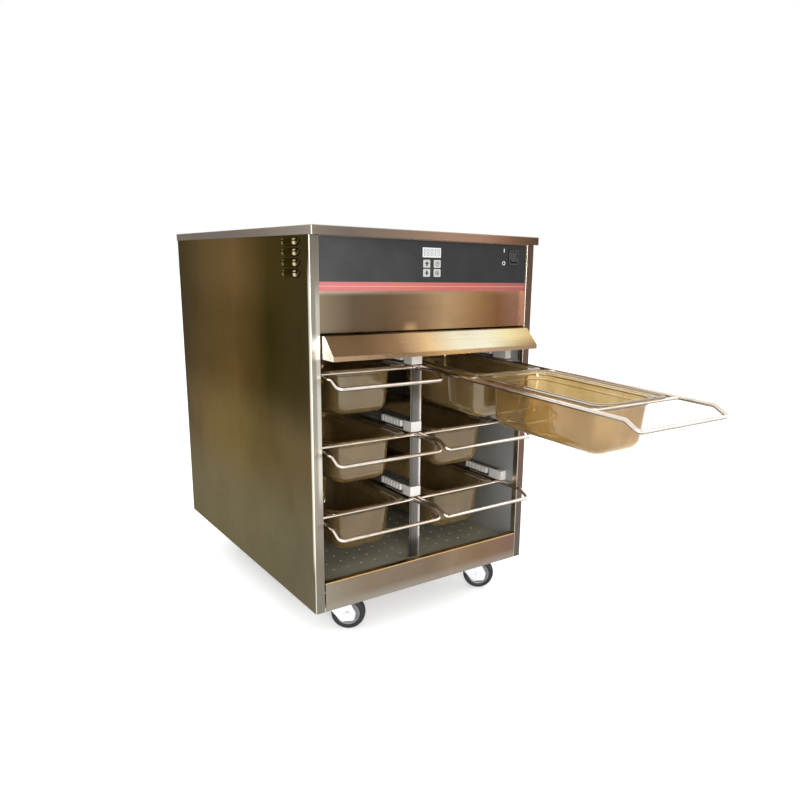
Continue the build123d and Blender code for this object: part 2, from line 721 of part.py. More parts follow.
caster_spots = {}
for y_name, y_sign in (("front", -1), ("rear", 1)):
    for x_name, x_sign in (("left", -1), ("right", 1)):
        x = x_sign * (half_w - caster_in_x)
        y = y_sign * (body_d / 2 - caster_in_y)
        caster_spots[f"{y_name}_{x_name}"] = (x, y)

with BuildPart() as caster_plates:
    for x, y in caster_spots.values():
        span_box(x - plate_w / 2, x + plate_w / 2, y - plate_w / 2, y + plate_w / 2, base - plate_t, base)
        with Locations((x, y, (base - plate_t + race_low) / 2)):
            Cylinder(23, base - plate_t - race_low)
        with Locations((x, y, race_low - 4)):
            Cylinder(kingpin_r, 10)
        with Locations((x, y, race_low - 7.5)):
            Cylinder(9, 3)
        with Locations((x, y, base - plate_t)):
            with GridLocations(46, 46, 2, 2):
                with Locations((0, 0, -1.5)):
                    Cylinder(5, 3)
finish(caster_plates, "caster_plates")


def caster_planes(x, y):
    """Local plane on the floor under the swivel axis, with X towards the trailing axle."""
    turn = math.radians(trail_turn)
    return Plane(origin=(x, y, 0), x_dir=(math.cos(turn), math.sin(turn), 0), z_dir=(0, 0, 1))


def caster_fork(plane):
    """Swivel fork: a dished top on the kingpin and two legs that run back to the axle."""
    side_plane = Plane(origin=plane.origin, x_dir=plane.x_dir, z_dir=-plane.y_dir)
    with BuildPart(plane) as fork:
        with Locations((4, 0, race_low - 2.0)):
            Box(50, 2 * (leg_in + leg_t), 3)
        for side in (-1, 1):
            with BuildSketch(side_plane.offset(side * (leg_in + leg_t / 2))) as leg:
                with BuildLine():
                    Polyline(
                        (-21, race_low - 0.5), (29, race_low - 0.5), (trail + 18, wheel_r + 4),
                        (trail + 15, wheel_r - 15), (trail - 13, wheel_r - 17), (-17, race_low - 24),
                        close=True,
                    )
                make_face()
                fillet(leg.vertices().sort_by(Axis.Y)[:3], radius=7)
            extrude(amount=leg_t / 2, both=True)
        with Locations((0, 0, race_low)):
            Cylinder(kingpin_r + king_gap, 20, mode=Mode.SUBTRACT)
        with Locations((trail, 0, wheel_r)):
            Cylinder(axle_r, 4 * leg_in, rotation=(90, 0, 0), mode=Mode.SUBTRACT)
    return fork


def caster_axle(plane):
    """Axle bolt through both legs, with its hexagon head and nut."""
    reach = leg_in + leg_t
    with BuildPart(plane) as axle:
        with Locations((trail, 0, wheel_r)):
            Cylinder(axle_r, 2 * reach, rotation=(90, 0, 0))
        for side in (-1, 1):
            face = Plane(
                origin=plane.from_local_coords(Vector(trail, side * reach, wheel_r)),
                x_dir=plane.x_dir, z_dir=plane.y_dir * side,
            )
            with BuildSketch(face):
                RegularPolygon(radius=7.2, side_count=6)
            extrude(amount=4.5)
    return axle


def caster_wheel(plane):
    """Wheel with a rounded tread, side recesses and a hub that bears on the axle."""
    with BuildPart(plane) as wheel:
        with Locations((trail, 0, wheel_r)):
            Cylinder(wheel_r, wheel_w, rotation=(90, 0, 0))
        fillet(wheel.edges().filter_by(GeomType.CIRCLE), radius=5)
        for side in (-1, 1):
            with Locations((trail, side * wheel_w / 2, wheel_r)):
                Cylinder(26, 8, rotation=(90, 0, 0), mode=Mode.SUBTRACT)
        with Locations((trail, 0, wheel_r)):
            Cylinder(11, 2 * leg_in - 1, rotation=(90, 0, 0))
            Cylinder(axle_r + axle_gap, 3 * leg_in, rotation=(90, 0, 0), mode=Mode.SUBTRACT)
    return wheel


for spot, (x, y) in caster_spots.items():
    plane = caster_planes(x, y)
    finish(caster_fork(plane), f"caster_fork_{spot}")
    finish(caster_axle(plane), f"caster_axle_{spot}")
    finish(caster_wheel(plane), f"caster_wheel_{spot}")
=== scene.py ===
"""Looks of the food holding cabinet, built around its CAD frame. Metres, +Z up, -Y out of the front."""

import json
import math

import bmesh
import bpy
from mathutils import Matrix, Vector


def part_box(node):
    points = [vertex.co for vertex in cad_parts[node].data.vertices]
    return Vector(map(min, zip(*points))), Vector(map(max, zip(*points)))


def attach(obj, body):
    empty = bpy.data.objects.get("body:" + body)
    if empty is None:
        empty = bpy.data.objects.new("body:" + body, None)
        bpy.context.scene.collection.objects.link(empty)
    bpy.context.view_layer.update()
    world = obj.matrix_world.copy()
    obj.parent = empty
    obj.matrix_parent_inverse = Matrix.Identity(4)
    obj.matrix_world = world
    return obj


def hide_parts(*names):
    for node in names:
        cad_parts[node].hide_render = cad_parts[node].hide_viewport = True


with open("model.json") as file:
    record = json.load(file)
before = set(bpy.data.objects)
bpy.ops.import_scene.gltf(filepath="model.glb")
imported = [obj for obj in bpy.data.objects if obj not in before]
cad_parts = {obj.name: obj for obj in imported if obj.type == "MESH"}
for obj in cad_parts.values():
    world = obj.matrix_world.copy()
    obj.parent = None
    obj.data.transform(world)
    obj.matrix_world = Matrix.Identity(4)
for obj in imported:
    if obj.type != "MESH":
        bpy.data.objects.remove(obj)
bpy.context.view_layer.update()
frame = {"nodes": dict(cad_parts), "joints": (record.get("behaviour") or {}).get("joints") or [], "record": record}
nodes = frame["nodes"]
record = frame["record"]
bodies = record["behaviour"]["bodies"]
body_of = {node: body for body, members in bodies.items() for node in members}
joint_of = {joint["child"]: joint for joint in frame["joints"]}

# ---------------------------------------------------------------- places read from the frame
skin_low, skin_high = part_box("left_side_panel")
right_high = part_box("right_side_panel")[1]
front_y = skin_low.y
back_y = skin_high.y
base_z = skin_low.z
roof_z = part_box("top_cover")[0].z
overlay_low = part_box("control_overlay")[0]
chamber_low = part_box("interior_floor")[1].z
inner_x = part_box("right_liner")[0].x
skin_x = inner_x + 0.020
hood_low, hood_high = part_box("air_hood")
fascia_low, fascia_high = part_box("fascia_panel")
rail_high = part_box("front_bottom_rail")[1]
louver_low_y = front_y + 0.0435
louver_high_y = front_y + 0.1125


# ---------------------------------------------------------------- camera, light and floor
def add_camera():
    """Camera to the left of the front, 0.79 m up, looking down on the cabinet. Camera
    at the height and side from which the cabinet is judged.
    """
    place = Vector((-0.8592, -1.5836, 0.7859))
    yaw, pitch, roll = 0.647, 0.2271, 0.0228
    ahead = Vector((math.sin(yaw) * math.cos(pitch), math.cos(yaw) * math.cos(pitch), -math.sin(pitch)))
    right = ahead.cross(Vector((0, 0, 1))).normalized()
    up = right.cross(ahead)
    tipped_right = right * math.cos(roll) + up * math.sin(roll)
    tipped_up = up * math.cos(roll) - right * math.sin(roll)
    data = bpy.data.cameras.new("camera")
    data.sensor_width = 36
    data.lens = 31.88
    data.shift_x = -0.0598
    data.shift_y = 0.0388
    data.clip_end = 50
    camera = bpy.data.objects.new("camera", data)
    rotation = Matrix((tipped_right, tipped_up, -ahead)).transposed().to_4x4()
    camera.matrix_world = Matrix.Translation(place) @ rotation
    bpy.context.scene.collection.objects.link(camera)
    bpy.context.scene.camera = camera


def add_area_light(name, place, target, size, power):
    """Soft square light that faces a target."""
    data = bpy.data.lights.new(name, "AREA")
    data.size = size
    data.energy = power
    lamp = bpy.data.objects.new(name, data)
    lamp.location = place
    lamp.rotation_euler = (Vector(target) - Vector(place)).to_track_quat("-Z", "Y").to_euler()
    bpy.context.scene.collection.objects.link(lamp)


def add_stage():
    """Pale floor, white surroundings and soft lights, with one low in front that reaches into the bays."""
    scene = bpy.context.scene
    scene.view_settings.view_transform = "Standard"
    world = bpy.data.worlds.new("studio")
    world.use_nodes = True
    scene.world = world
    world.node_tree.nodes["Background"].inputs["Color"].default_value = (1, 1, 1, 1)
    world.node_tree.nodes["Background"].inputs["Strength"].default_value = 1.0
    middle = (0, -0.2, 0.45)
    add_area_light("key_light", (-2.2, -2.6, 2.8), middle, 2.4, 30)
    add_area_light("fill_light", (2.6, -2.2, 1.6), middle, 2.4, 14)
    add_area_light("back_light", (0.6, 2.6, 2.4), middle, 2.4, 16)
    add_area_light("front_light", (-1.1, -2.9, 0.9), (0.05, 0, 0.36), 1.0, 62)
    bpy.ops.mesh.primitive_plane_add(size=80, location=(0, 0, 0))
    floor = bpy.context.object
    floor.name = "studio_floor"
    paint = bpy.data.materials.new("studio_floor")
    paint.use_nodes = True
    surface = paint.node_tree.nodes["Principled BSDF"]
    surface.inputs["Base Color"].default_value = (0.96, 0.96, 0.96, 1)
    surface.inputs["Roughness"].default_value = 1.0
    surface.inputs["Specular IOR Level"].default_value = 0.0
    surface.inputs["Emission Color"].default_value = (1, 1, 1, 1)
    surface.inputs["Emission Strength"].default_value = 0.30
    floor.data.materials.append(paint)


# ---------------------------------------------------------------- material kit
class Paint:
    """A procedural material: one Principled shader and the nodes that vary it over the piece."""

    def __init__(self, name, **fixed):
        self.material = bpy.data.materials.new(name)
        self.material.use_nodes = True
        self.tree = self.material.node_tree
        self.shader = self.tree.nodes["Principled BSDF"]
        for socket, value in fixed.items():
            self.shader.inputs[socket.replace("_", " ")].default_value = value
        self.coords = self.node("ShaderNodeTexCoord")
        self.heights = []

    def node(self, kind, inputs=None, **settings):
        """A new node, with its settings, and its inputs set or linked by name or index."""
        made = self.tree.nodes.new(kind)
        for key, value in settings.items():
            setattr(made, key, value)
        for key, value in (inputs or {}).items():
            if isinstance(value, bpy.types.NodeSocket):
                self.tree.links.new(value, made.inputs[key])
            else:
                made.inputs[key].default_value = value
        return made

    def stretched(self, scale, offset=(0, 0, 0)):
        """Object coordinates, scaled along each axis."""
        return self.node("ShaderNodeMapping",
                         {0: self.coords.outputs["Object"], 1: offset, 3: scale}).outputs[0]

    def noise(self, scale, detail=4.0, rough=0.55, place=None):
        """Noise between 0 and 1 over the piece."""
        source = place or self.coords.outputs["Object"]
        made = self.node("ShaderNodeTexNoise",
                         {"Vector": source, "Scale": scale, "Detail": detail, "Roughness": rough})
        return made.outputs["Fac"]

    def along(self, axis):
        """The X, Y or Z coordinate."""
        split = self.node("ShaderNodeSeparateXYZ", {0: self.coords.outputs["Object"]})
        return split.outputs[axis]

    def maths(self, operation, first, second=0.0, clamp=False):
        return self.node("ShaderNodeMath", {0: first, 1: second}, operation=operation,
                         use_clamp=clamp).outputs[0]

    def remap(self, value, low, high, to_low=0.0, to_high=1.0, smooth=False):
        """A value carried from one range to another, held at its ends."""
        kind = "SMOOTHSTEP" if smooth else "LINEAR"
        made = self.node("ShaderNodeMapRange", {0: value, 1: low, 2: high, 3: to_low, 4: to_high},
                         interpolation_type=kind)
        return made.outputs[0]

    def band(self, value, low, high, soft):
        """1 between two values of a coordinate and 0 outside, with soft ends."""
        rise = self.remap(value, low - soft, low + soft, smooth=True)
        fall = self.remap(value, high - soft, high + soft, 1.0, 0.0, smooth=True)
        return self.maths("MULTIPLY", rise, fall)

    def mix(self, share, first, second, blend="MIX"):
        """Two colours mixed by a share."""
        made = self.node("ShaderNodeMix", {0: share, 6: first, 7: second}, data_type="RGBA",
                         blend_type=blend)
        return made.outputs[2]

    def ramp(self, value, stops):
        """Colours along a value, as (position, (r, g, b)) stops."""
        made = self.node("ShaderNodeValToRGB", {0: value})
        elements = made.color_ramp.elements
        while len(elements) < len(stops):
            elements.new(0.5)
        for element, (position, colour) in zip(elements, stops):
            element.position = position
            element.color = (*colour, 1)
        return made.outputs[0]

    def folds(self, strength=1.0):
        """1 on rounded folds and corners, 0 on flat faces that stand along the axes."""
        split = self.node("ShaderNodeSeparateXYZ", {0: self.coords.outputs["Normal"]})
        sizes = [self.maths("ABSOLUTE", split.outputs[axis]) for axis in range(3)]
        largest = self.maths("MAXIMUM", self.maths("MAXIMUM", sizes[0], sizes[1]), sizes[2])
        return self.remap(largest, 0.99, 0.85, 0.0, strength)

    def raise_by(self, height, distance, strength=1.0):
        """Add a height pattern to the bump."""
        inputs = {"Strength": strength, "Distance": distance, "Height": height}
        if self.heights:
            inputs["Normal"] = self.heights[-1]
        self.heights.append(self.node("ShaderNodeBump", inputs).outputs[0])

    def finish(self, colour=None, rough=None):
        """Link the varied colour, roughness and bump to the shader."""
        if colour is not None:
            self.tree.links.new(colour, self.shader.inputs["Base Color"])
        if rough is not None:
            self.tree.links.new(rough, self.shader.inputs["Roughness"])
        if self.heights:
            self.tree.links.new(self.heights[-1], self.shader.inputs["Normal"])
        return self.material


def srgb(red, green, blue):
    """Colour given as 0 to 255 display values, as linear numbers."""
    def linear(value):
        value = value / 255
        return value / 12.92 if value <= 0.04045 else ((value + 0.055) / 1.055) ** 2.4
    return (linear(red), linear(green), linear(blue))


def tint_along(paint, axis, low, high, colours, wander=0.03):
    """Evenly spaced tints along an axis, with a slow drift in where they lie."""
    drift = paint.remap(paint.noise(2.2, detail=2.0), 0.3, 0.7, -wander, wander)
    place = paint.remap(paint.maths("ADD", paint.along(axis), drift), low, high)
    last = len(colours) - 1
    return paint.ramp(place, [(index / last, srgb(*colour)) for index, colour in enumerate(colours)])


glancing_tint = (0.49, 0.475, 0.44, 1)


def steel(name, tint_of, grain_axis, rough=0.28, edge=None, fold_highlight_share=0.85, fold_highlight_mask=None, wear=1.0,
          **fixed):
    """Polished stainless sheet: its tint, soft clouds, fine grain, smears and a painted highlight on its folds."""
    paint = Paint(name, **{"Metallic": 1.0, "Specular_Tint": glancing_tint, **fixed})
    tint = tint_of(paint)
    scale = [700.0, 700.0, 700.0]
    scale[grain_axis] = 9.0
    grain = paint.noise(1.0, detail=3.0, rough=0.7, place=paint.stretched(scale))
    smear = paint.noise(6.0, detail=5.0, rough=0.6)
    cloud = paint.noise(3.1, detail=2.0)
    tint = paint.mix(paint.remap(cloud, 0.35, 0.7, 0.0, 0.28 * wear, smooth=True), tint,
                     paint.mix(1.0, tint, (*srgb(206, 200, 190), 1), blend="MULTIPLY"))
    tint = paint.mix(paint.remap(smear, 0.52, 0.78, 0.0, 0.30 * wear), tint,
                     paint.mix(1.0, tint, (*srgb(190, 180, 160), 1), blend="MULTIPLY"))
    tint = paint.mix(paint.remap(grain, 0.3, 0.7, 0.0, 0.5), tint,
                     paint.mix(1.0, tint, (*srgb(232, 230, 226), 1), blend="MULTIPLY"))
    # Painted highlight: rounded folds are brightened to the edge colour.
    if edge is not None:
        share = paint.folds(fold_highlight_share)
        if fold_highlight_mask is not None:
            share = paint.maths("MULTIPLY", share, fold_highlight_mask(paint))
        tint = paint.mix(share, tint, (*srgb(*edge), 1))
    paint.raise_by(grain, 0.00003, 0.18)
    paint.raise_by(paint.noise(3.0, detail=1.0), 0.004, 0.10)
    roughness = paint.maths("ADD", paint.remap(grain, 0.3, 0.7, rough - 0.03, rough + 0.03),
                            paint.remap(smear, 0.35, 0.7, -0.03, 0.07))
    return paint.finish(tint, roughness)


def plain_tint(*colour):
    return lambda paint: (*srgb(*colour), 1)


def run(axis, low, high, *colours, wander=0.03):
    """A tint recipe for steel: colours spaced along an axis."""
    return lambda paint: tint_along(paint, axis, low, high, colours, wander)


def side_tint(paint):
    """Side skin in painted reflections: olive-grey foot, dark middle band, warm brown above, all darker towards
    the rear edge, with a painted highlight strip along the front corner.
    """
    # Bands of painted reflection up the skin.
    height = paint.along("Z")
    foot = tint_along(paint, "Y", front_y, back_y,
                      ((112, 105, 88), (108, 102, 80), (108, 100, 78), (108, 98, 74), (100, 92, 68)))
    waist = tint_along(paint, "Y", front_y, back_y,
                       ((96, 84, 62), (96, 82, 56), (114, 96, 60), (108, 88, 54), (80, 64, 42)))
    chest = tint_along(paint, "Y", front_y, back_y,
                       ((66, 58, 42), (54, 47, 28), (98, 76, 45), (84, 65, 36), (46, 34, 15)))
    head = tint_along(paint, "Y", front_y, back_y,
                      ((62, 56, 38), (72, 60, 36), (116, 92, 60), (102, 82, 52), (62, 47, 24)))
    tint = paint.mix(paint.remap(height, 0.20, 0.40, smooth=True), foot, waist)
    tint = paint.mix(paint.remap(height, 0.42, 0.55, smooth=True), tint, chest)
    tint = paint.mix(paint.remap(height, 0.66, 0.79, smooth=True), tint, head)
    # Painted highlight strip along the front corner.
    front_corner_highlight = paint.remap(paint.along("Y"), front_y + 0.0085, front_y + 0.0045)
    lit = paint.band(height, 0.20, 0.775, 0.03)
    return paint.mix(paint.maths("MULTIPLY", front_corner_highlight, lit), tint, (*srgb(230, 222, 206), 1))


def stile_tint(paint, colours):
    """Front stile of a side skin, with a painted highlight along its edge towards the opening and a painted
    reflection of the hood at the hood's height.
    """
    tint = tint_along(paint, "Z", base_z, roof_z, colours)
    # Painted highlight along the stile's edge towards the opening.
    lip = paint.remap(paint.maths("ABSOLUTE", paint.along("X")), skin_x - 0.0095, skin_x - 0.0125)
    lip = paint.maths("MULTIPLY", lip, paint.band(paint.along("Z"), 0.34, 0.735, 0.03))
    tint = paint.mix(paint.maths("MULTIPLY", lip, 0.42), tint, (*srgb(230, 226, 216), 1))
    # Painted reflection of the hood, a bright band at its height.
    hood_reflection_mask = paint.band(paint.along("Z"), hood_low.z + 0.022, hood_high.z - 0.004, 0.012)
    return paint.mix(paint.maths("MULTIPLY", hood_reflection_mask, 0.85), tint, (*srgb(238, 236, 228), 1))


def facing(paint, axis, sign):
    """1 on faces that look along an axis, 0 on the rest."""
    split = paint.node("ShaderNodeSeparateXYZ", {0: paint.coords.outputs["Normal"]})
    return paint.remap(paint.maths("MULTIPLY", split.outputs[axis], sign), 0.72, 0.92)


def skin_tint(side, side_recipe, stile_colours, with_hood_reflection=True):
    """Side skin with its own tint on the side and on the stile, a pale painted highlight on faces that look inward
    and dark painted shade on the pressed louvers.
    """
    def tint_of(paint):
        if with_hood_reflection:
            stile = stile_tint(paint, stile_colours)
        else:
            stile = tint_along(paint, "Z", base_z, roof_z, stile_colours)
        tint = paint.mix(facing(paint, "Y", -1.0), side_recipe(paint), stile)
        # Faces that look inward get a pale painted highlight.
        tint = paint.mix(facing(paint, "X", -side), tint, (*srgb(226, 218, 206), 1))
        # Pressed louvers get dark painted shade.
        outward = paint.maths("MULTIPLY", paint.along("X"), side)
        pressed_louver_shade = paint.remap(outward, skin_x + 0.0004, skin_x + 0.0012)
        return paint.mix(pressed_louver_shade, tint, (*srgb(46, 40, 26), 1))
    return tint_of


def louver_tint(paint):
    """Pressed louver in dark painted shade, with a painted highlight near its front end and a dimmer painted
    highlight at its heel.
    """
    split = paint.node("ShaderNodeSeparateXYZ", {0: paint.coords.outputs["Normal"]})
    centre = paint.remap(paint.maths("ABSOLUTE", split.outputs["Z"]), 0.62, 0.30, smooth=True)
    depth = paint.along("Y")
    # A painted highlight near the front end and a dimmer one at the heel, over dark painted shade.
    spot = paint.maths("MULTIPLY", paint.band(depth, louver_low_y + 0.005, louver_low_y + 0.014, 0.004),
                       centre)
    heel_highlight = paint.maths("MULTIPLY", paint.band(depth, louver_high_y - 0.012, louver_high_y - 0.004, 0.004),
                       centre)
    tint = paint.mix(paint.maths("MULTIPLY", heel_highlight, 0.7), (*srgb(48, 41, 25), 1), (*srgb(158, 148, 100), 1))
    return paint.mix(spot, tint, (*srgb(234, 216, 178), 1))


def flat_skin(side):
    """A mask that is 1 on the plain skin and 0 on the pressed louvers."""
    def mask(paint):
        return paint.remap(paint.maths("MULTIPLY", paint.along("X"), side), skin_x + 0.0006,
                           skin_x + 0.0002)
    return mask


def hood_tint(paint):
    """Air hood in painted reflections: deep brown at the left, cream right of the middle, golden at the right,
    darker towards the lower right; its hem in its own painted reflections; a pale painted highlight on the left
    end plate and painted shade on the right one.
    """
    tint = tint_along(paint, "X", -inner_x, inner_x, (
        (124, 98, 70), (126, 98, 68), (162, 126, 92), (250, 212, 156), (255, 246, 214), (255, 250, 222),
        (255, 240, 184), (226, 196, 136)), wander=0.008)
    # Darker painted reflection towards the lower right.
    corner = paint.maths("MULTIPLY", paint.remap(paint.along("X"), 0.12, 0.24),
                         paint.remap(paint.along("Z"), hood_high.z - 0.014, hood_low.z + 0.012))
    tint = paint.mix(paint.maths("MULTIPLY", corner, 0.8), tint, (*srgb(156, 118, 82), 1))
    # The hem in its own painted reflections.
    under = paint.remap(paint.along("Z"), hood_low.z + 0.010, hood_low.z + 0.008)
    lip = tint_along(paint, "X", -inner_x, inner_x,
                     ((160, 134, 104), (136, 114, 92), (208, 172, 120), (160, 136, 112), (136, 110, 86)))
    tint = paint.mix(under, tint, lip)
    # Pale painted highlight on the left end plate, painted shade on the right one.
    tint = paint.mix(facing(paint, "X", -1.0), tint, (*srgb(240, 234, 220), 1))
    return paint.mix(facing(paint, "X", 1.0), tint, (*srgb(100, 92, 66), 1))


def fascia_tint(paint):
    # Fascia in painted reflections along its length.
    tint = tint_along(paint, "X", -inner_x, inner_x, (
        (138, 126, 106), (98, 83, 66), (102, 84, 64), (128, 104, 79), (162, 134, 100), (138, 106, 72),
        (114, 80, 54), (132, 98, 84)), wander=0.01)
    # Painted highlight along the top edge.
    top = paint.remap(paint.along("Z"), fascia_high.z - 0.020, fascia_high.z - 0.006, smooth=True)
    pale = tint_along(paint, "X", -inner_x, inner_x,
                      ((226, 204, 192), (186, 164, 146), (168, 140, 116), (138, 106, 76), (146, 104, 88)))
    # Painted highlight over a dent near the foot.
    dent_highlight = paint.band(paint.along("X"), -0.060, -0.034, 0.010)
    dent_highlight = paint.maths("MULTIPLY", dent_highlight,
                       paint.remap(paint.along("Z"), fascia_low.z + 0.020, fascia_low.z + 0.006))
    tint = paint.mix(top, tint, pale)
    return paint.mix(paint.maths("MULTIPLY", dent_highlight, 0.5), tint, (*srgb(214, 184, 140), 1))


def rail_tint(paint):
    # Rail in painted reflections along its length, paler towards its foot.
    tint = tint_along(paint, "X", -inner_x, inner_x, (
        (136, 129, 115), (121, 108, 90), (118, 104, 89), (117, 102, 86), (134, 115, 94), (124, 101, 80),
        (120, 96, 84)))
    low = paint.remap(paint.along("Z"), base_z + 0.026, base_z + 0.002, 0.0, 0.8, smooth=True)
    tint = paint.mix(low, tint, (*srgb(146, 140, 130), 1))
    # Painted highlight along the top edge.
    top = paint.remap(paint.along("Z"), rail_high.z - 0.0035, rail_high.z - 0.0005, smooth=True)
    return paint.mix(top, tint, (*srgb(206, 172, 124), 1))


def cover_tint(paint):
    """Top cover in painted reflections, different on each face: brown front edge, greyer side edge, plain top."""
    front = tint_along(paint, "X", skin_low.x, right_high.x, (
        (136, 127, 114), (114, 102, 94), (126, 108, 92), (140, 112, 94), (136, 104, 88), (102, 74, 57),
        (60, 53, 42)))
    side = tint_along(paint, "Y", front_y, back_y,
                      ((154, 147, 137), (136, 124, 114), (112, 104, 98), (108, 98, 86), (108, 98, 88)))
    flat = tint_along(paint, "Y", front_y, back_y, ((126, 116, 102), (112, 102, 90), (118, 110, 98)))
    tint = paint.mix(facing(paint, "Z", 1.0), side, flat)
    return paint.mix(facing(paint, "Y", -1.0), tint, front)


def overlay_film(name):
    """Charcoal film with a soft red stripe along its foot and a fine satin texture."""
    paint = Paint(name, Specular_IOR_Level=0.24)
    tint = tint_along(paint, "X", -inner_x, inner_x,
                      ((50, 50, 51), (36, 36, 38), (29, 29, 30), (20, 20, 20), (12, 11, 11)))
    stripe = tint_along(paint, "X", -inner_x, inner_x,
                        ((160, 90, 92), (154, 86, 78), (144, 74, 68), (118, 62, 58)))
    edge = overlay_low.z + 0.0165
    below = paint.remap(paint.along("Z"), edge + 0.0006, edge - 0.0006)
    thread = paint.band(paint.along("Z"), edge - 0.0085, edge - 0.0075, 0.0004)
    stripe = paint.mix(paint.maths("MULTIPLY", thread, 0.35), stripe, (*srgb(238, 186, 168), 1))
    tint = paint.mix(below, tint, stripe)
    satin = paint.noise(900.0, detail=2.0)
    smear = paint.noise(12.0, detail=4.0)
    tint = paint.mix(paint.remap(smear, 0.45, 0.75, 0.0, 0.05), tint, (*srgb(120, 120, 120), 1))
    paint.raise_by(satin, 0.00002, 0.4)
    return paint.finish(tint, paint.remap(smear, 0.35, 0.7, 0.36, 0.52))


def rod_chrome():
    """Bright nickel-chrome wire with water marks, with a painted highlight on top and painted shade beneath."""
    paint = Paint("rod_chrome", Metallic=1.0)
    split = paint.node("ShaderNodeSeparateXYZ", {0: paint.coords.outputs["Normal"]})
    # Painted light by the normal: paler on top, grey beneath.
    top_light_share = paint.remap(split.outputs["Z"], -0.75, 0.55, smooth=True)
    tint = paint.ramp(top_light_share,
                      [(0.0, srgb(104, 104, 92)), (0.35, srgb(150, 146, 134)), (0.7, srgb(226, 210, 198)),
                       (1.0, srgb(240, 226, 214))])
    marks = paint.noise(45.0, detail=5.0)
    tint = paint.mix(paint.remap(marks, 0.5, 0.75, 0.0, 0.35), tint, (*srgb(140, 132, 118), 1))
    paint.raise_by(marks, 0.0001, 0.3)
    return paint.finish(tint, paint.remap(marks, 0.3, 0.7, 0.12, 0.26))


